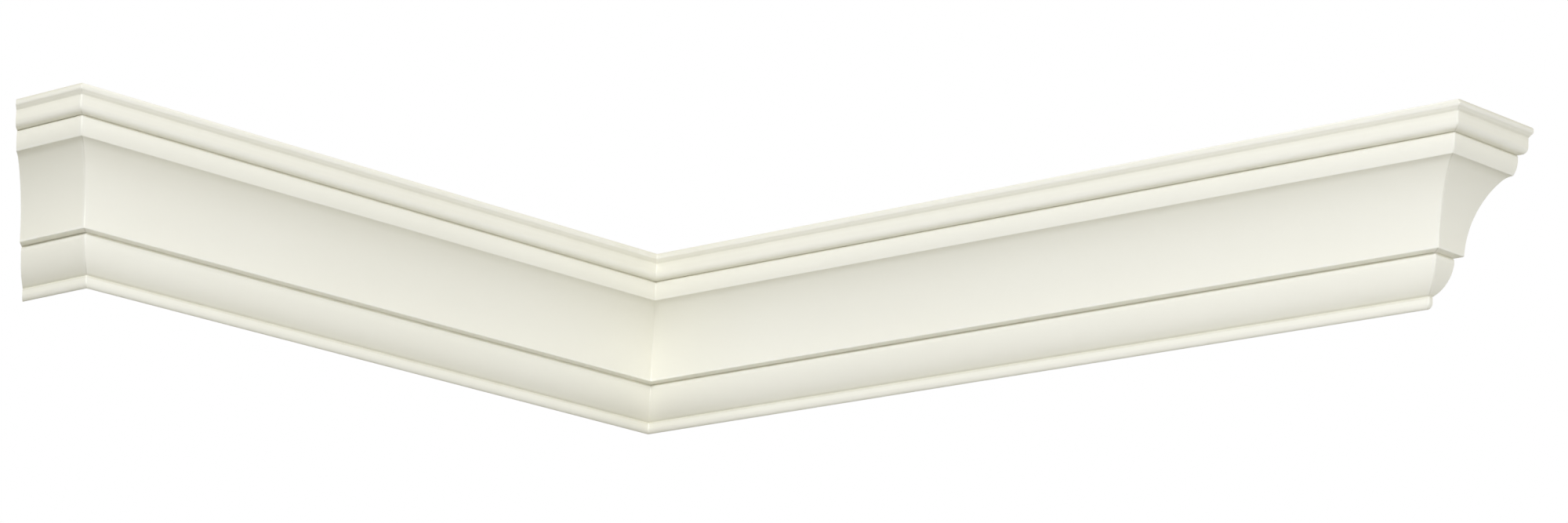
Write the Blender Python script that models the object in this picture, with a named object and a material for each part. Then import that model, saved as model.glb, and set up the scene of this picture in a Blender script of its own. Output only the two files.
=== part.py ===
# Crown moulding for a stepped wall, as four mitred lengths of one section.
# The run on the right lies along +X, its face looks along -Y, and the walls are behind.
# Section points are (out, up): out from the wall, up from the lowest edge, in millimetres.

import math

import bmesh
import bpy
from mathutils import Matrix, Vector

MM = 0.001

# Lengths along the foot of the walls
RIGHT_RUN = 775 * MM
LEFT_RUN = 590 * MM
LEFT_RETURN = 74 * MM
JOINT_GAP = 0.3 * MM

# Whole section
HEIGHT = 121.0
PROJECTION = 90.5
WALL_FOOT = 24.0
CEILING_FOOT_BACK = 58.0

# Bead along the wall
BEAD_OUT = 4.6
BEAD_TOP = 8.7
BEAD_LOW_ROUND = 4.3
BEAD_TOP_ROUND = 1.2
BEAD_TOP_TURN = 65

# Ovolo above the bead
OVOLO_LOW = (3.9, 8.6)
OVOLO_HIGH = (23.0, 30.2)
OVOLO_RADIUS = 28.0
OVOLO_EDGE = 1.3
OVOLO_EDGE_UP = 32.4
OVOLO_EDGE_TURN = 60

# Flat underside between the ovolo and the cove
COVE_UNDERSIDE = 34.4
UNDERSIDE_BACK = 21.8
COVE_EDGE = 1.2

# Cove, tighter at its head, and the fascia over it
COVE_LOW = (31.5, 35.8)
COVE_HEAD = (62.6, 84.8)
COVE_HIGH = (73.0, 87.6)
COVE_RADIUS = 63.3
COVE_HEAD_RADIUS = 20.5
FASCIA_HIGH = (77.0, 99.7)
FASCIA_RADIUS = 17.0
FASCIA_EDGE = 1.1
FASCIA_EDGE_UP = 100.4
FASCIA_EDGE_TURN = 60

# Upper band with its quarter round
BAND_UNDERSIDE = 102.0
BAND_BACK = 75.8
BAND_OUT = 85.9
BAND_ROUND = 4.8
BAND_TOP = 113.3

# Shallow cavetto under the nose
CAVETTO_HIGH = (89.6, 115.7)
CAVETTO_RADIUS = 16.5
NOSE_LOW_ROUND = 2.4
NOSE_LOW_TURN = -50
NOSE_ROUND = 3.5

ARC_STEP = 5.0
SMOOTH_ANGLE = math.radians(30)
PAINT_COLOUR = (0.84, 0.83, 0.74, 1.0)
PAINT_ROUGHNESS = 0.42


def arc(center, radius, start, end):
    """Points on an arc about a centre, from one angle to another in degrees."""
    steps = max(2, round(abs(end - start) / ARC_STEP))
    points = []
    for i in range(steps + 1):
        angle = math.radians(start + (end - start) * i / steps)
        points.append((center[0] + radius * math.cos(angle), center[1] + radius * math.sin(angle)))
    return points


def arc_between(start, end, radius, hollow):
    """Points on an arc through two points, hollow as seen from the room or full."""
    chord = Vector(end) - Vector(start)
    side = Vector((chord.y, -chord.x)).normalized()
    if not hollow:
        side = -side
    reach = math.sqrt(radius ** 2 - (chord.length / 2) ** 2)
    center = (Vector(start) + Vector(end)) / 2 + side * reach
    first = Vector(start) - center
    last = Vector(end) - center
    angle = math.degrees(math.atan2(first.y, first.x))
    turn = math.degrees(math.atan2(last.y, last.x)) - angle
    turn = (turn + 180) % 360 - 180
    return arc(center, radius, angle, angle + turn)


def bead_and_ovolo():
    """The face from the wall's lowest edge up to the underside of the cove."""
    points = [(0.0, 0.0)]
    points += arc((BEAD_OUT - BEAD_LOW_ROUND, BEAD_LOW_ROUND), BEAD_LOW_ROUND, -90, 0)
    top_center = (BEAD_OUT - BEAD_TOP_ROUND, BEAD_TOP - BEAD_TOP_ROUND)
    points += arc(top_center, BEAD_TOP_ROUND, 0, BEAD_TOP_TURN)
    points += arc_between(OVOLO_LOW, OVOLO_HIGH, OVOLO_RADIUS, hollow=False)
    edge_center = (OVOLO_HIGH[0] - OVOLO_EDGE, OVOLO_EDGE_UP)
    points += arc(edge_center, OVOLO_EDGE, 0, OVOLO_EDGE_TURN)
    points.append((UNDERSIDE_BACK, COVE_UNDERSIDE))
    return points


def cove_and_fascia():
    """The hollow face and the upright band at its head."""
    edge_center = (COVE_LOW[0] - COVE_EDGE, COVE_UNDERSIDE + COVE_EDGE)
    points = arc(edge_center, COVE_EDGE, -90, 0)
    points += arc_between(COVE_LOW, COVE_HEAD, COVE_RADIUS, hollow=True)
    points += arc_between(COVE_HEAD, COVE_HIGH, COVE_HEAD_RADIUS, hollow=True)[1:]
    points += arc_between(COVE_HIGH, FASCIA_HIGH, FASCIA_RADIUS, hollow=False)[1:]
    top_center = (FASCIA_HIGH[0] - FASCIA_EDGE, FASCIA_EDGE_UP)
    points += arc(top_center, FASCIA_EDGE, 0, FASCIA_EDGE_TURN)
    points.append((BAND_BACK, BAND_UNDERSIDE))
    return points


def band_and_nose():
    """The upper band, the small hollow above it and the rounded nose at the ceiling."""
    points = arc((BAND_OUT - BAND_ROUND, BAND_UNDERSIDE + BAND_ROUND), BAND_ROUND, -90, 0)
    points += arc_between((BAND_OUT, BAND_TOP), CAVETTO_HIGH, CAVETTO_RADIUS, hollow=True)
    nose_up = HEIGHT - NOSE_ROUND
    points += arc((PROJECTION - NOSE_LOW_ROUND, nose_up), NOSE_LOW_ROUND, NOSE_LOW_TURN, 0)
    points += arc((PROJECTION - NOSE_ROUND, nose_up), NOSE_ROUND, 0, 90)[1:]
    return points


def section():
    """The closed outline of the moulding, with its sloping back, in metres."""
    points = bead_and_ovolo() + cove_and_fascia() + band_and_nose()
    points += [(CEILING_FOOT_BACK, HEIGHT), (0.0, WALL_FOOT)]
    outline = []
    for out, up in points:
        point = Vector((out, up)) * MM
        if not outline or (point - outline[-1]).length > 0.05 * MM:
            outline.append(point)
    return outline


def paint(name):
    """Satin ivory paint for one length."""
    material = bpy.data.materials.new(name + "_paint")
    material.use_nodes = True
    shader = material.node_tree.nodes["Principled BSDF"]
    shader.inputs["Base Color"].default_value = PAINT_COLOUR
    shader.inputs["Roughness"].default_value = PAINT_ROUGHNESS
    shader.inputs["Metallic"].default_value = 0.0
    return material


def extruded_section(name, length):
    """A mesh of the section, pushed out evenly to both sides of its own plane."""
    curve = bpy.data.curves.new(name, "CURVE")
    curve.dimensions = "2D"
    curve.fill_mode = "BOTH"
    curve.extrude = length / 2
    outline = section()
    spline = curve.splines.new("POLY")
    spline.points.add(len(outline) - 1)
    for point, (out, up) in zip(spline.points, outline):
        point.co = (out, up, 0, 1)
    spline.use_cyclic_u = True
    holder = bpy.data.objects.new(name, curve)
    bpy.context.scene.collection.objects.link(holder)
    bpy.context.view_layer.update()
    evaluated = holder.evaluated_get(bpy.context.evaluated_depsgraph_get())
    mesh = bpy.data.meshes.new_from_object(evaluated)
    bpy.data.objects.remove(holder)
    bpy.data.curves.remove(curve)
    return mesh


def cut_end(shape, along, slope, direction):
    """Cut one end: its face moves on by slope for each step out from the wall."""
    point = Vector((0, 0, -along))
    normal = Vector((-slope, 0, -1)) * direction
    normal.normalize()
    everything = shape.verts[:] + shape.edges[:] + shape.faces[:]
    cut = bmesh.ops.bisect_plane(
        shape, geom=everything, plane_co=point, plane_no=normal, clear_outer=True)
    rim = [item for item in cut["geom_cut"] if isinstance(item, bmesh.types.BMEdge)]
    bmesh.ops.edgeloop_fill(shape, edges=rim)


def length_of_moulding(name, start, end, start_slope, end_slope):
    """One length along a wall: the ends are places along it, the slopes its mitres."""
    spare = 2 * PROJECTION * MM
    mesh = extruded_section(name, end - start + 2 * spare)
    shape = bmesh.new()
    shape.from_mesh(mesh)
    bmesh.ops.remove_doubles(shape, verts=shape.verts, dist=0.01 * MM)
    middle = (start + end) / 2
    bmesh.ops.translate(shape, verts=shape.verts, vec=(0, 0, -middle))
    cut_end(shape, start, start_slope, -1)
    cut_end(shape, end, end_slope, 1)
    bmesh.ops.recalc_face_normals(shape, faces=shape.faces)
    shape.to_mesh(mesh)
    shape.free()
    mesh.shade_smooth()
    mesh.set_sharp_from_angle(angle=SMOOTH_ANGLE)
    mesh.materials.clear()
    mesh.materials.append(paint(name))
    return bpy.data.objects.new(name, mesh)


def place(piece, corner, collection, location, facing):
    """Set a length on its wall: facing is the way its face looks out into the room."""
    up = Vector((0, 0, 1))
    turned = Matrix((facing, up, facing.cross(up))).transposed()
    piece.parent = corner
    piece.location = location
    piece.rotation_euler = turned.to_euler()
    collection.objects.link(piece)


def clear_scene():
    """Remove whatever the scene holds."""
    for item in list(bpy.data.objects):
        bpy.data.objects.remove(item)


def build():
    """The four lengths round the walls, from left to right."""
    clear_scene()
    collection = bpy.data.collections.new("crown_moulding")
    bpy.context.scene.collection.children.link(collection)
    corner = bpy.data.objects.new("wall_corner", None)
    corner.location = (-RIGHT_RUN / 2, 0, -WALL_FOOT / 2 * MM)
    collection.objects.link(corner)
    front = Vector((0, -1, 0))
    right = Vector((1, 0, 0))
    set_back = JOINT_GAP / math.sqrt(2)

    left_return = length_of_moulding("left_return", 0, LEFT_RETURN - set_back, 1, 1)
    place(left_return, corner, collection, (-LEFT_RETURN, -LEFT_RUN, 0), front)

    left_run = length_of_moulding("left_run", set_back, LEFT_RUN - set_back, -1, -1)
    place(left_run, corner, collection, (0, -LEFT_RUN, 0), right)

    right_run = length_of_moulding("right_run", set_back, RIGHT_RUN - set_back, 1, 1)
    place(right_run, corner, collection, (0, 0, 0), front)

    right_return = length_of_moulding("right_return", set_back, 0, -1, 0)
    place(right_return, corner, collection, (RIGHT_RUN, 0, 0), right)


build()
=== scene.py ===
import math

import bmesh
import bpy
from mathutils import Matrix, Vector


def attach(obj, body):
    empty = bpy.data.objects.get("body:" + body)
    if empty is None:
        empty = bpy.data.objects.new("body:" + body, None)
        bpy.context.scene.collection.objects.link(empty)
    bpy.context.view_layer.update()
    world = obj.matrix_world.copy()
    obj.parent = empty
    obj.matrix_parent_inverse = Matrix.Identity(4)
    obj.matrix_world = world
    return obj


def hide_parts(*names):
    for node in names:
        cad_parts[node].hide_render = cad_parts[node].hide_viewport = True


# Crown moulding round a stepped wall, in four mitred lengths: paint in front, wood behind
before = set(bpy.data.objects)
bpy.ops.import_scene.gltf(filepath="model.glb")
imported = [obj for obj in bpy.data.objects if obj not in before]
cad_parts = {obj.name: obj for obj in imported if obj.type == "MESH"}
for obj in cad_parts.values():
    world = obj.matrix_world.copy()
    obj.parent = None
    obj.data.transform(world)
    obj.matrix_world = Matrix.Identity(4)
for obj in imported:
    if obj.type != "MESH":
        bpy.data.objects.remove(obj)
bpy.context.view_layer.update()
mm = 0.001
print("frame loaded:", ", ".join(sorted(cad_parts)))


# A socket of a node tree: sums on it become Math nodes, in shader and geometry trees alike
class Wire:
    def __init__(self, tree, socket=None):
        self.tree = tree
        self.socket = socket

    # Any node: its type, its settings, then the values or links of its sockets
    def node(self, kind, settings=None, sockets=None, output=0):
        made = self.tree.nodes.new(kind)
        for name, setting in (settings or {}).items():
            setattr(made, name, setting)
        for key, value in (sockets or {}).items():
            target = made.inputs[key]
            if isinstance(value, Wire):
                self.tree.links.new(value.socket, target)
            elif target.type == "RGBA":
                target.default_value = (*value, 1.0)
            else:
                target.default_value = value
        return Wire(self.tree, made.outputs[output] if made.outputs else None)

    def math(self, operation, *values):
        return self.node("ShaderNodeMath", {"operation": operation}, dict(enumerate(values)))

    def __add__(self, other):
        return self.math("ADD", self, other)

    def __radd__(self, other):
        return self.math("ADD", other, self)

    def __sub__(self, other):
        return self.math("SUBTRACT", self, other)

    def __rsub__(self, other):
        return self.math("SUBTRACT", other, self)

    def __mul__(self, other):
        return self.math("MULTIPLY", self, other)

    def __rmul__(self, other):
        return self.math("MULTIPLY", other, self)

    def __truediv__(self, other):
        return self.math("DIVIDE", self, other)

    def __pow__(self, other):
        return self.math("POWER", self, other)

    def sine(self):
        return self.math("SINE", self)

    def cosine(self):
        return self.math("COSINE", self)

    def least(self, other):
        return self.math("MINIMUM", self, other)

    def most(self, other):
        return self.math("MAXIMUM", self, other)

    def above(self, other):
        return self.math("GREATER_THAN", self, other)

    # 0 below low, 1 above high, and a straight ramp between them
    def ramp(self, low, high):
        return ((self - low) / (high - low)).most(0.0).least(1.0)

    def join(self, x, y, z):
        return self.node("ShaderNodeCombineXYZ", {}, {0: x, 1: y, 2: z})

    def blend(self, amount, first, second):
        sockets = {0: amount, 6: first, 7: second}
        return self.node("ShaderNodeMix", {"data_type": "RGBA"}, sockets, 2)


# The moulding's section in millimetres, as (out from the wall, up from its lowest edge)
section = {
    "height": 121.0,
    "projection": 90.5,
    "wallFoot": 24.0,
    "ceilingBack": 58.0,
    "beadOut": 4.6,
    "beadTop": 8.7,
    "beadLowRound": 4.3,
    "beadTopRound": 1.2,
    "beadTopTurn": 65,
    "ovoloLow": (3.9, 8.6),
    "ovoloHigh": (23.0, 30.2),
    "ovoloRadius": 28.0,
    "ovoloEdge": 0.9,
    "ovoloEdgeUp": 32.7,
    "edgeTurn": 60,           # upper edge of the ovolo and of the fascia
    "undersideBack": 21.8,
    "coveUnderside": 34.4,
    "coveEdge": 0.7,
    "coveLow": (31.5, 35.8),
    "coveHead": (62.6, 84.8),
    "coveHigh": (73.0, 87.6),
    "coveRadius": 63.3,
    "coveHeadRadius": 20.5,
    "fasciaHigh": (77.0, 99.7),
    "fasciaRadius": 17.0,
    "fasciaEdge": 0.8,
    "fasciaEdgeUp": 100.7,
    "bandBack": 75.8,
    "bandUnderside": 102.0,
    "bandOut": 85.9,
    "bandRound": 4.8,
    "bandTop": 113.3,
    "cavettoHigh": (89.6, 115.7),
    "cavettoRadius": 16.5,
    "noseLowRound": 2.4,
    "noseLowTurn": -50,
    "noseRound": 3.5,
    "wrap": 5.0,              # the painted front goes on round both hidden edges
}

# How finely the section is drawn, in millimetres and degrees
drawing = {
    "frontStep": 0.2,
    "backStep": 8.0,
    "skipShare": 0.4,         # a point nearer than this share of a step is left out
    "softness": 0.18,         # how far coats of paint soften every line
    "softReach": 3,           # points count up to this many softnesses away
    "keepTurn": 1.75,         # a turn that keeps a point
    "keepGap": 1.0,           # a gap that keeps a point on the flat
    "leastGap": 0.12,
    "edgeReach": 2.0,         # length each way that tells an arris from a flat
    "arrisTurns": (30, 75),   # turn within reach where an arris begins and is whole
    "nookTurns": (25, 75),
}


def arcPoints(center, radius, start, end):
    length = radius * math.radians(abs(end - start))
    steps = max(2, math.ceil(length / drawing["frontStep"]))
    turns = [math.radians(start + (end - start) * i / steps) for i in range(steps + 1)]
    return [(center[0] + radius * math.cos(t), center[1] + radius * math.sin(t)) for t in turns]


# An arc through two points, hollow or full as the room sees it
def arcBetween(start, end, radius, hollow):
    first, last = Vector(start), Vector(end)
    chord = last - first
    side = Vector((chord.y, -chord.x)).normalized() * (1 if hollow else -1)
    center = (first + last) / 2 + side * math.sqrt(radius ** 2 - (chord.length / 2) ** 2)
    begin = math.degrees(math.atan2(first.y - center.y, first.x - center.x))
    stop = math.degrees(math.atan2(last.y - center.y, last.x - center.x))
    turn = (stop - begin + 180) % 360 - 180
    return arcPoints(center, radius, begin, begin + turn)


# The front from the wall's lowest edge to the ceiling, bead first and nose last
def frontOutline():
    s = section
    points = [(0.0, s["wrap"]), (0.0, 0.0)]
    beadLow = (s["beadOut"] - s["beadLowRound"], s["beadLowRound"])
    points += arcPoints(beadLow, s["beadLowRound"], -90, 0)
    beadHigh = (s["beadOut"] - s["beadTopRound"], s["beadTop"] - s["beadTopRound"])
    points += arcPoints(beadHigh, s["beadTopRound"], 0, s["beadTopTurn"])
    points += arcBetween(s["ovoloLow"], s["ovoloHigh"], s["ovoloRadius"], False)
    ovoloEdge = (s["ovoloHigh"][0] - s["ovoloEdge"], s["ovoloEdgeUp"])
    points += arcPoints(ovoloEdge, s["ovoloEdge"], 0, s["edgeTurn"])
    points.append((s["undersideBack"], s["coveUnderside"]))
    coveEdge = (s["coveLow"][0] - s["coveEdge"], s["coveUnderside"] + s["coveEdge"])
    points += arcPoints(coveEdge, s["coveEdge"], -90, 0)
    points += arcBetween(s["coveLow"], s["coveHead"], s["coveRadius"], True)
    points += arcBetween(s["coveHead"], s["coveHigh"], s["coveHeadRadius"], True)
    points += arcBetween(s["coveHigh"], s["fasciaHigh"], s["fasciaRadius"], False)
    fasciaEdge = (s["fasciaHigh"][0] - s["fasciaEdge"], s["fasciaEdgeUp"])
    points += arcPoints(fasciaEdge, s["fasciaEdge"], 0, s["edgeTurn"])
    points.append((s["bandBack"], s["bandUnderside"]))
    bandRound = (s["bandOut"] - s["bandRound"], s["bandUnderside"] + s["bandRound"])
    points += arcPoints(bandRound, s["bandRound"], -90, 0)
    points += arcBetween((s["bandOut"], s["bandTop"]), s["cavettoHigh"], s["cavettoRadius"], True)
    noseUp = s["height"] - s["noseRound"]
    noseLow = (s["projection"] - s["noseLowRound"], noseUp)
    points += arcPoints(noseLow, s["noseLowRound"], s["noseLowTurn"], 0)
    nose = (s["projection"] - s["noseRound"], noseUp)
    points += arcPoints(nose, s["noseRound"], 0, 90)
    points.append((nose[0] - s["wrap"], s["height"]))
    return points


# Points at even small steps along an outline
def evenlySpaced(points, step):
    kept = [Vector(points[0])]
    for point in points[1:]:
        last = kept[-1]
        gap = (Vector(point) - last).length
        if gap < step * drawing["skipShare"]:
            continue
        parts = max(1, math.ceil(gap / step))
        kept += [last.lerp(Vector(point), i / parts) for i in range(1, parts + 1)]
    return kept


# Each point moves to its neighbours' bell-weighted mean, so a sharp line looks painted
def softened(points):
    width = drawing["softness"]
    spread = math.ceil(drawing["softReach"] * width / drawing["frontStep"])
    kept = [points[0]]
    for i in range(1, len(points) - 1):
        total, mean = 0.0, Vector((0, 0))
        for j in range(max(0, i - spread), min(len(points), i + spread + 1)):
            weight = math.exp(-0.5 * ((points[j] - points[i]).length / width) ** 2)
            total += weight
            mean += points[j] * weight
        kept.append(mean / total)
    return kept + [points[-1]]


def turnAt(before, here, after):
    turn = math.atan2(*(after - here).yx) - math.atan2(*(here - before).yx)
    return (math.degrees(turn) + 180) % 360 - 180


# Only the points that the curve needs
def thinned(points):
    kept = [points[0]]
    for here, after in zip(points[1:], points[2:]):
        gap = (here - kept[-1]).length
        turned = abs(turnAt(kept[-1], here, after)) > drawing["keepTurn"]
        if gap > drawing["keepGap"] or (turned and gap > drawing["leastGap"]):
            kept.append(here)
    return kept + [points[-1]]


# Turn of the outline within reach of each point: plus on an arris, minus in a nook
def turnsWithinReach(points, places):
    def heading(at):
        index = max(1, min(len(points) - 1, sum(place < at for place in places)))
        return math.atan2(*(points[index] - points[index - 1]).yx)

    turns = []
    for place in places:
        turn = heading(place + drawing["edgeReach"]) - heading(place - drawing["edgeReach"])
        turns.append((math.degrees(turn) + 180) % 360 - 180)
    return turns


# 0 up to the first bound, 1 from the second on, and even between them
def shareBetween(value, bounds):
    low, high = bounds
    return max(0.0, min(1.0, (value - low) / (high - low)))


# The closed outline as a loop of edges that carries what the finish needs to know
def sectionOutline(name):
    front = thinned(softened(evenlySpaced(frontOutline(), drawing["frontStep"])))
    places = [0.0]
    for before, after in zip(front, front[1:]):
        places.append(places[-1] + (after - before).length)
    total = places[-1]
    turns = turnsWithinReach(front, places)
    ceilingEdge = (section["ceilingBack"], section["height"])
    wallEdge = (0.0, section["wallFoot"])
    hidden = [front[-1], ceilingEdge, wallEdge, front[0]]
    back = evenlySpaced(hidden, drawing["backStep"])[1:-1]
    backPlaces = [total + drawing["backStep"] * i for i in range(len(back))]
    bare = [0.0] * len(back)
    points = front + back
    loop = [(i, (i + 1) % len(points)) for i in range(len(points))]
    mesh = bpy.data.meshes.new(name)
    mesh.from_pydata([(p.x * mm, p.y * mm, 0) for p in points], loop, [])
    marks = {
        "outward": [p.x * mm for p in points],
        "upward": [p.y * mm for p in points],
        "around": [place * mm for place in places + backPlaces],
        "fromHidden": [min(place, total - place) * mm for place in places] + bare,
        "arris": [shareBetween(turn, drawing["arrisTurns"]) for turn in turns] + bare,
        "nook": [shareBetween(-turn, drawing["nookTurns"]) for turn in turns] + bare,
    }
    for key, values in marks.items():
        mesh.attributes.new(key, "FLOAT", "POINT").data.foreach_set("value", values)
    return bpy.data.objects.new(name, mesh)


# The lengths along the foot of the walls and their corners, in millimetres
lengths = {
    "rightRun": 775.0,
    "leftRun": 590.0,
    "leftReturn": 74.0,
    "outsideRound": 1.0,
    "insideRound": 0.8,
    "roundFrom": 3.0,         # out from the wall, where a corner's rounding is whole
    "cornerSteps": 10,
    "middleSteps": 16,
    "weld": 0.002,
    "capSides": 8,            # a face with more sides than this closes a cut end
    "sharpFrom": 50,          # degrees between faces
    "noCorner": 1000.0,       # stands for the way to a corner that a length doesn't have
    "leftReturnShade": 0.4,    # painted shade on each return, darker and warmer than the runs
    "rightReturnShade": 0.1,
}
leansOut, leansIn, square = 1, -1, 0    # outside mitre, inside mitre and square end


def carried(root, name):
    return root.node("GeometryNodeInputNamedAttribute", {"data_type": "FLOAT"}, {"Name": name})


def stored(shape, name, value, kind="FLOAT", domain="POINT"):
    settings = {"data_type": kind, "domain": domain}
    sockets = {"Geometry": shape, "Name": name, "Value": value}
    return shape.node("GeometryNodeStoreNamedAttribute", settings, sockets)


# The section along a straight rail, where each ring knows its number as its station
def sweptSection(given):
    root = given["Section"]
    line = root.node("GeometryNodeCurvePrimitiveLine", {}, {"Start": (0, 0, 0), "End": (1, 0, 0)})
    count = given["Corner steps"] * 2 + given["Middle steps"] + 1
    sockets = {"Curve": line, "Count": count}
    rail = root.node("GeometryNodeResampleCurve", {"mode": "COUNT"}, sockets)
    rail = stored(rail, "station", root.node("GeometryNodeInputIndex"))
    profile = root.node("GeometryNodeMeshToCurve", {}, {"Mesh": root})
    sockets = {"Curve": rail, "Profile Curve": profile, "Fill Caps": True}
    return root.node("GeometryNodeCurveToMesh", {}, sockets)


# Each point's place along the wall and out from it, and how far it is from both end planes
def mitredPlace(given):
    root = given["Section"]
    corner, middle = given["Corner steps"], given["Middle steps"]
    startLean, endLean = given["Start lean"], given["End lean"]
    station, out = carried(root, "station"), carried(root, "outward")
    halfCorner = math.radians(45)
    startTurn = (1 - station / corner).most(0.0) * halfCorner
    endTurn = ((station - corner - middle) / corner).most(0.0) * halfCorner
    share = ((station - corner) / middle).most(0.0).least(1.0)
    painted = carried(root, "fromHidden").above(0.0)
    whole = out.ramp(0.0, lengths["roundFrom"] * mm) * painted
    startRound = given["Start round"] * whole
    endRound = given["End round"] * whole
    startPlane = 0 - startLean * out
    endPlane = given["Length"] + endLean * out
    start = startPlane + startRound * (1 - startTurn.sine())
    end = endPlane - endRound * (1 - endTurn.sine())
    along = start * (1 - share) + end * share
    startInset = startLean * startRound * (1 - startTurn.cosine())
    endInset = endLean * endRound * (1 - endTurn.cosine())
    outward = out - startInset - endInset
    return along, outward, along - startPlane, endPlane - along


# How far each point is from the nearer painted corner of one kind, leansOut or leansIn
def toCorner(given, fromStart, fromEnd, kind):
    far = lengths["noCorner"] * mm
    atStart = (given["Start lean"] * kind).above(0.0) * given["Start round"].above(0.0)
    atEnd = (given["End lean"] * kind).above(0.0) * given["End round"].above(0.0)
    return (fromStart + (1 - atStart) * far).least(fromEnd + (1 - atEnd) * far)


# A Geometry Nodes tree that runs the section along a wall, mitres it and rounds its corners
def lengthTree():
    tree = bpy.data.node_groups.new("mouldingLength", "GeometryNodeTree")
    named = {
        "Section": "NodeSocketGeometry",
        "Length": "NodeSocketFloat",
        "Start lean": "NodeSocketFloat",
        "End lean": "NodeSocketFloat",
        "Start round": "NodeSocketFloat",
        "End round": "NodeSocketFloat",
        "Corner steps": "NodeSocketInt",
        "Middle steps": "NodeSocketInt",
        "Place": "NodeSocketVector",
        "Turn": "NodeSocketFloat",
        "Coat": "NodeSocketFloat",
        "Finish": "NodeSocketMaterial",
    }
    for name, kind in named.items():
        tree.interface.new_socket(name, in_out="INPUT", socket_type=kind)
    tree.interface.new_socket("Moulding", in_out="OUTPUT", socket_type="NodeSocketGeometry")
    entry = tree.nodes.new("NodeGroupInput")
    given = {name: Wire(tree, entry.outputs[name]) for name in named}
    root, turn = given["Section"], given["Turn"]

    along, outward, fromStart, fromEnd = mitredPlace(given)
    up = carried(root, "upward")
    x = turn.cosine() * along + turn.sine() * outward
    y = turn.sine() * along - turn.cosine() * outward
    sockets = {0: given["Place"], 1: root.join(x, y, up)}
    position = root.node("ShaderNodeVectorMath", {"operation": "ADD"}, sockets)
    sockets = {"Geometry": sweptSection(given), "Position": position}
    shape = root.node("GeometryNodeSetPosition", {}, sockets)

    # What the finish reads
    shape = stored(shape, "toOutside", toCorner(given, fromStart, fromEnd, leansOut))
    shape = stored(shape, "toInside", toCorner(given, fromStart, fromEnd, leansIn))
    # Painted shade for each length, which darkens the returns
    shape = stored(shape, "returnShade", given["Coat"])
    stroke = root.join(along, carried(root, "around"), turn)
    shape = stored(shape, "stroke", stroke, "FLOAT_VECTOR")
    shape = stored(shape, "inSection", root.join(outward, up, 0.0), "FLOAT_VECTOR")
    sides = root.node("GeometryNodeInputMeshFaceNeighbors")
    shape = stored(shape, "cutEnd", sides.above(lengths["capSides"]), domain="FACE")

    sockets = {"Geometry": shape, "Distance": lengths["weld"] * mm}
    shape = root.node("GeometryNodeMergeByDistance", {}, sockets)
    shape = root.node("GeometryNodeRealizeInstances", {}, {"Geometry": shape})
    sockets = {"Geometry": shape, "Material": given["Finish"]}
    shape = root.node("GeometryNodeSetMaterial", {}, sockets)
    root.node("NodeGroupOutput", {}, {"Moulding": shape})
    return tree


# The tree's result as a plain mesh: faces outwards, rims of the cut ends sharp
def plainPiece(name, holder):
    bpy.context.view_layer.update()
    evaluated = holder.evaluated_get(bpy.context.evaluated_depsgraph_get())
    mesh = bpy.data.meshes.new_from_object(evaluated)
    holder.modifiers.clear()
    outline = holder.data
    bpy.data.objects.remove(holder)
    bpy.data.meshes.remove(outline)
    mesh.name = name
    mesh.shade_smooth()
    mesh.set_sharp_from_angle(angle=math.radians(lengths["sharpFrom"]))
    shape = bmesh.new()
    shape.from_mesh(mesh)
    bmesh.ops.recalc_face_normals(shape, faces=shape.faces)
    for face in shape.faces:
        if len(face.verts) > lengths["capSides"]:
            face.smooth = False
            for edge in face.edges:
                edge.smooth = False
    shape.to_mesh(mesh)
    shape.free()
    piece = bpy.data.objects.new(name, mesh)
    bpy.context.scene.collection.objects.link(piece)
    return piece


def mouldingLength(tree, finish, name, place, turn, length, leans, rounds, returnShade):
    holder = sectionOutline(name + "Outline")
    bpy.context.scene.collection.objects.link(holder)
    modifier = holder.modifiers.new("length", "NODES")
    modifier.node_group = tree
    wallCorner = Vector((-lengths["rightRun"] / 2, 0, -section["wallFoot"] / 2))
    values = {
        "Length": length * mm,
        "Start lean": float(leans[0]),
        "End lean": float(leans[1]),
        "Start round": rounds[0] * mm,
        "End round": rounds[1] * mm,
        "Corner steps": lengths["cornerSteps"],
        "Middle steps": lengths["middleSteps"],
        "Place": list((wallCorner + Vector(place)) * mm),
        "Turn": math.radians(turn),
        "Coat": returnShade,
        "Finish": finish,
    }
    for item in tree.interface.items_tree:
        if item.in_out == "INPUT" and item.name in values:
            modifier[item.identifier] = values[item.name]
    return plainPiece(name, holder)


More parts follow.
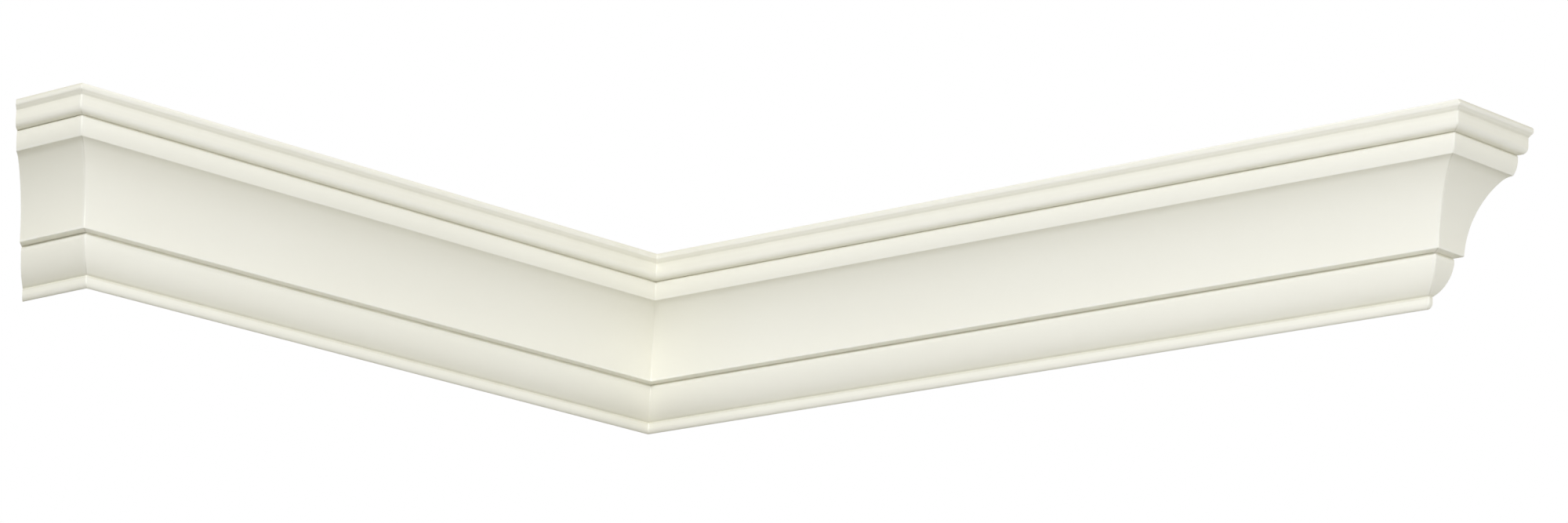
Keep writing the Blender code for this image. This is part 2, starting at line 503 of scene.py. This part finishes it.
# Satin ivory paint: marks per metre, lengths and depths in millimetres
paint = {
    "ivory": (0.862, 0.85, 0.743),
    "warm": (0.85, 0.833, 0.711),
    # Painted shade: a darker, warmer tone for the nooks, towards the inside corner and on the
    # returns
    "paintedShade": (0.72, 0.70, 0.57),
    # Painted highlight along the arrises, partly paint worn thin there
    "wearAndHighlight": (0.87, 0.862, 0.785),
    # Painted shade on the outside mitres, dimming the light they catch
    "outsideMitreShade": (0.74, 0.725, 0.62),
    "rough": 0.44,
    "gloss": 1.5,             # index of refraction
    "brush": (5.0, 620.0),    # along and across the strokes
    "brushDepth": 0.012,
    "brushPatches": 14.0,     # where brush marks show, and where they fade out
    "brushPatchRange": (0.38, 0.66),
    "peel": 330.0,
    "peelDepth": 0.010,
    "waves": (9.0, 60.0),
    "waveDepth": 0.05,
    "edgeReach": 4.0,
    "uneven": 60.0,
    "wearAndHighlightRange": (0.3, 0.75),
    "wearAndHighlightMost": 0.6,
    "wearAndHighlightRough": 0.05,
    "paintedShadeLeast": 0.35,
    "paintedShadeRough": 0.06,
    "mitreShade": 0.12,
    "insideCornerShade": 0.45,       # painted shade, deepening towards the inside corner
    "insideCornerShadeReach": 150.0,
    "insideCornerShadeFall": 1.5,
    "outsideMitreShadeReach": (0.45, 1.0),
    "outsideMitreShadeRough": 0.3,       # added on the outside mitres, where the gloss is gone
    "drift": 5.0,             # slow change from ivory to warm ivory
    "driftRange": (0.3, 0.75),
    "driftMost": 0.35,
    "sheen": (3.0, 90.0),
    "sheenSpread": 0.10,
    "wrapsOn": 2.2,           # how far paint goes on round the hidden edges
    "wrapFade": 0.4,
    "ragged": (60.0, 25.0),
    "raggedWidth": 3.0,
}

# Bare softwood behind, in the same units
wood = {
    "pale": (0.80, 0.66, 0.46),
    "dark": (0.62, 0.44, 0.26),
    "rough": 0.72,
    "grainRough": 0.12,
    "figure": (4.0, 260.0),   # along and across the grain
    "figureDepth": 0.06,
    "grainRange": (0.36, 0.66),
    "rings": 95.0,
    "ringWobble": 1.2,
    "ringRange": (0.2, 0.9),
}


# A stored attribute as a number, or as a vector from its output 1
def attribute(root, name, output=2):
    return root.node("ShaderNodeAttribute", {"attribute_name": name}, {}, output)


def noise(vector, scale, detail=2.0, roughness=0.5):
    sockets = {"Vector": vector, "Scale": scale, "Detail": detail, "Roughness": roughness}
    return vector.node("ShaderNodeTexNoise", {}, sockets)


# Noise drawn out along each length, as (along, across) marks per metre
def streaks(stroke, marks, detail, roughness=0.5):
    sockets = {0: stroke, 1: (*marks, 1)}
    drawn = stroke.node("ShaderNodeVectorMath", {"operation": "MULTIPLY"}, sockets)
    return noise(drawn, 1.0, detail, roughness)


# Brush marks run along each length and fade in and out; spray peel and slow waves lie under
def paintRelief(stroke, space):
    marks = streaks(stroke, paint["brush"], detail=3.0, roughness=0.6)
    patches = noise(stroke, paint["brushPatches"]).ramp(*paint["brushPatchRange"])
    peel = noise(space, paint["peel"], detail=1.0)
    waves = streaks(stroke, paint["waves"], detail=1.0)
    relief = marks * patches * (paint["brushDepth"] * mm) + peel * (paint["peelDepth"] * mm)
    return relief + waves * (paint["waveDepth"] * mm)


# Painted highlight on an arris, partly worn paint, and painted shade in a nook, on the section's
# lines and on the mitres; painted shade too towards the inside corner, on the returns and on the
# outside mitres
def paintCoat(stroke, space):
    toOutside, toInside = attribute(stroke, "toOutside"), attribute(stroke, "toInside")
    edgeReach = paint["edgeReach"] * mm
    onCorner = 1 - toOutside.ramp(0.0, edgeReach)
    inCorner = 1 - toInside.ramp(0.0, edgeReach)
    arris = attribute(stroke, "arris").most(onCorner)
    nook = attribute(stroke, "nook").most(inCorner * paint["mitreShade"])
    uneven = noise(space, paint["uneven"], detail=3.0)
    # Painted highlight on the arrises, partly wear
    wearAndHighlight = arris * uneven.ramp(*paint["wearAndHighlightRange"])
    least = paint["paintedShadeLeast"]
    # Painted shade in the nooks
    paintedShade = nook * (least + (1 - least) * uneven)
    # Painted shade that deepens towards the inside corner
    nearness = 1 - toInside.ramp(0.0, paint["insideCornerShadeReach"] * mm)
    cornerShadeAmount = nearness ** paint["insideCornerShadeFall"] * paint["insideCornerShade"]
    # Painted shade on the outside mitres, which are also made rougher
    outsideMitreShadeFrom, outsideMitreShadeTo = paint["outsideMitreShadeReach"]
    outsideMitreShade = 1 - toOutside.ramp(outsideMitreShadeFrom * mm, outsideMitreShadeTo * mm)
    drift = noise(stroke, paint["drift"], detail=3.0).ramp(*paint["driftRange"])

    colour = stroke.blend(drift * paint["driftMost"], paint["ivory"], paint["warm"])
    # Painted shade on the returns and towards the inside corner
    shadeOnCornerOrReturn = cornerShadeAmount.most(attribute(stroke, "returnShade"))
    colour = stroke.blend(shadeOnCornerOrReturn, colour, paint["paintedShade"])
    colour = stroke.blend(paintedShade, colour, paint["paintedShade"])
    colour = stroke.blend(wearAndHighlight * paint["wearAndHighlightMost"], colour, paint["wearAndHighlight"])
    colour = stroke.blend(outsideMitreShade, colour, paint["outsideMitreShade"])

    sheen = streaks(stroke, paint["sheen"], detail=2.0)
    rough = paint["rough"] - paint["sheenSpread"] / 2 + paint["sheenSpread"] * sheen
    rough = rough + paint["paintedShadeRough"] * paintedShade - paint["wearAndHighlightRough"] * wearAndHighlight
    return colour, rough + paint["outsideMitreShadeRough"] * outsideMitreShade


# Grain along each length, and rings on the cut ends
def bareWood(stroke, cut):
    figure = streaks(stroke, wood["figure"], detail=4.0, roughness=0.65)
    settings = {"wave_type": "RINGS", "rings_direction": "SPHERICAL"}
    sockets = {
        "Vector": attribute(stroke, "inSection", 1),
        "Scale": wood["rings"],
        "Distortion": wood["ringWobble"],
        "Detail": 2.0,
    }
    rings = stroke.node("ShaderNodeTexWave", settings, sockets, 1)
    grain = figure.ramp(*wood["grainRange"]) * (1 - cut) + rings.ramp(*wood["ringRange"]) * cut
    colour = stroke.blend(grain, wood["pale"], wood["dark"])
    return colour, wood["rough"] + wood["grainRough"] * grain, figure * (wood["figureDepth"] * mm)


def paintedWood():
    material = bpy.data.materials.new("satinIvoryPaint")
    material.use_nodes = True
    material.node_tree.nodes.clear()
    root = Wire(material.node_tree)
    space = root.node("ShaderNodeTexCoord", output=3)    # Object coordinates
    stroke = attribute(root, "stroke", 1)
    cut = attribute(root, "cutEnd")
    paintColour, paintRough = paintCoat(stroke, space)
    woodColour, woodRough, woodRelief = bareWood(stroke, cut)

    # The paint ends in a ragged line behind the hidden edges, and the cut ends are bare
    ragged = streaks(stroke, paint["ragged"], detail=3.0) - 0.5
    ends = section["wrap"] - paint["wrapsOn"]
    inside = attribute(root, "fromHidden") + ragged * (paint["raggedWidth"] * mm)
    painted = inside.ramp(ends * mm, (ends + paint["wrapFade"]) * mm) * (1 - cut)
    colour = root.blend(painted, woodColour, paintColour)
    rough = paintRough * painted + woodRough * (1 - painted)
    height = paintRelief(stroke, space) * painted + woodRelief * (1 - painted)
    bump = root.node("ShaderNodeBump", {}, {"Strength": 1.0, "Distance": 1.0, "Height": height})
    sockets = {"Base Color": colour, "Roughness": rough, "Normal": bump, "IOR": paint["gloss"]}
    surface = root.node("ShaderNodeBsdfPrincipled", {}, sockets)
    root.node("ShaderNodeOutputMaterial", {}, {"Surface": surface})
    return material


ivoryPaint = paintedWood()
tree = lengthTree()
print("section tree and paint ready")

# Each length by the CAD node it stands for: leans and rounds are those of its start and end
standsFor = {
    "left_return": {
        "name": "leftReturn",
        "place": (-lengths["leftReturn"], -lengths["leftRun"], 0),
        "turn": 0,
        "length": lengths["leftReturn"],
        "leans": (leansIn, leansOut),
        "rounds": (0.0, lengths["outsideRound"]),
        "returnShade": lengths["leftReturnShade"],
    },
    "left_run": {
        "name": "leftRun",
        "place": (0, -lengths["leftRun"], 0),
        "turn": 90,
        "length": lengths["leftRun"],
        "leans": (leansOut, leansIn),
        "rounds": (lengths["outsideRound"], lengths["insideRound"]),
        "returnShade": 0.0,
    },
    "right_run": {
        "name": "rightRun",
        "place": (0, 0, 0),
        "turn": 0,
        "length": lengths["rightRun"],
        "leans": (leansIn, leansOut),
        "rounds": (lengths["insideRound"], lengths["outsideRound"]),
        "returnShade": 0.0,
    },
    "right_return": {
        "name": "rightReturn",
        "place": (lengths["rightRun"], 0, 0),
        "turn": 90,
        "length": 0.0,
        "leans": (leansOut, square),
        "rounds": (lengths["outsideRound"], 0.0),
        "returnShade": lengths["rightReturnShade"],
    },
}
for node, values in standsFor.items():
    piece = mouldingLength(tree, ivoryPaint, **values)
    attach(piece, "root")
    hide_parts(node)
print("four lengths made")


# The room, in metres and watts
floor = {
    "radius": 2.4,
    "sides": 96,
    "height": -1.45,
    "colour": (0.8, 0.8, 0.79),
    "rough": 0.9,
}


def paleFloor():
    mesh = bpy.data.meshes.new("floor")
    shape = bmesh.new()
    bmesh.ops.create_circle(
        shape, cap_ends=True, segments=floor["sides"], radius=floor["radius"])
    bmesh.ops.translate(shape, verts=shape.verts, vec=(0, 0, floor["height"]))
    shape.to_mesh(mesh)
    shape.free()
    material = bpy.data.materials.new("floorPaint")
    material.use_nodes = True
    shader = material.node_tree.nodes["Principled BSDF"]
    shader.inputs["Base Color"].default_value = (*floor["colour"], 1.0)
    shader.inputs["Roughness"].default_value = floor["rough"]
    mesh.materials.append(material)
    piece = bpy.data.objects.new("floor", mesh)
    bpy.context.scene.collection.objects.link(piece)


# A soft light from all round, weaker from below; the camera itself sees plain white
surround = {
    "high": 0.47,
    "low": 0.01,
    "horizon": (-0.2, 0.2),   # where it turns from low to high
    "colour": (1.0, 0.95, 0.73),
    "backdrop": (1.0, 1.0, 1.0),
    "backdropStrength": 1.0,
}


def softSurround():
    world = bpy.data.worlds.new("softSurround")
    world.use_nodes = True
    bpy.context.scene.world = world
    world.node_tree.nodes.clear()
    root = Wire(world.node_tree)
    direction = root.node("ShaderNodeTexCoord")
    height = root.node("ShaderNodeSeparateXYZ", {}, {0: direction}, 2)
    rise = (surround["high"] - surround["low"]) * height.ramp(*surround["horizon"])
    seen = root.node("ShaderNodeLightPath")
    lit = (surround["low"] + rise) * (1 - seen)
    strength = lit + seen * surround["backdropStrength"]
    colour = root.blend(seen, surround["colour"], surround["backdrop"])
    sky = root.node("ShaderNodeBackground", {}, {"Color": colour, "Strength": strength})
    root.node("ShaderNodeOutputWorld", {}, {"Surface": sky})


# One soft lamp in front of each wall, a weak one over the top edge and one behind for the
# bare wood, each with its place and its power
lamps = {
    "rightWallLamp": ((0.78, -3.35, 0.3), 80.0),
    "leftWallLamp": ((3.25, -0.4, -0.12), 47.8),
    "topLamp": ((-0.26, 0.01, 1.26), 5.5),
    "backLamp": ((-1.6, 1.55, 0.3), 13.0),
}
lampFitting = {
    "aim": (0.05, -0.3, 0.04),
    "size": 0.9,
    "colour": (0.865, 0.885, 1.0),
}


def softLamp(name, place, power):
    lamp = bpy.data.lights.new(name, "AREA")
    lamp.shape = "DISK"
    lamp.size = lampFitting["size"]
    lamp.energy = power
    lamp.color = lampFitting["colour"]
    light = bpy.data.objects.new(name, lamp)
    light.visible_camera = False
    aim = (Vector(lampFitting["aim"]) - Vector(place)).to_track_quat("-Z", "Y")
    light.matrix_world = Matrix.Translation(Vector(place)) @ aim.to_matrix().to_4x4()
    bpy.context.scene.collection.objects.link(light)


# Where the photograph was taken from, in metres and degrees, with its lens in millimetres
camera = {
    "place": (2.3788, -2.7859, -0.8527),
    "yaw": 43.263,
    "pitch": 14.172,
    "roll": 2.339,
    "lens": 112.7,
    "sensor": 36.0,
}


def photographCamera():
    yaw, pitch, roll = (math.radians(camera[key]) for key in ("yaw", "pitch", "roll"))
    flat = math.cos(pitch)
    ahead = Vector((-math.sin(yaw) * flat, math.cos(yaw) * flat, math.sin(pitch)))
    level = Vector((math.cos(yaw), math.sin(yaw), 0))
    upright = level.cross(ahead)
    right = level * math.cos(roll) + upright * math.sin(roll)
    up = upright * math.cos(roll) - level * math.sin(roll)
    data = bpy.data.cameras.new("photographCamera")
    data.lens = camera["lens"]
    data.sensor_width = camera["sensor"]
    viewer = bpy.data.objects.new("photographCamera", data)
    turned = Matrix((right, up, -ahead)).transposed().to_4x4()
    viewer.matrix_world = Matrix.Translation(Vector(camera["place"])) @ turned
    bpy.context.scene.collection.objects.link(viewer)
    bpy.context.scene.camera = viewer


paleFloor()
softSurround()
for name, (place, power) in lamps.items():
    softLamp(name, place, power)
photographCamera()
bpy.context.scene.view_settings.view_transform = "Standard"
print("floor, light and camera set")
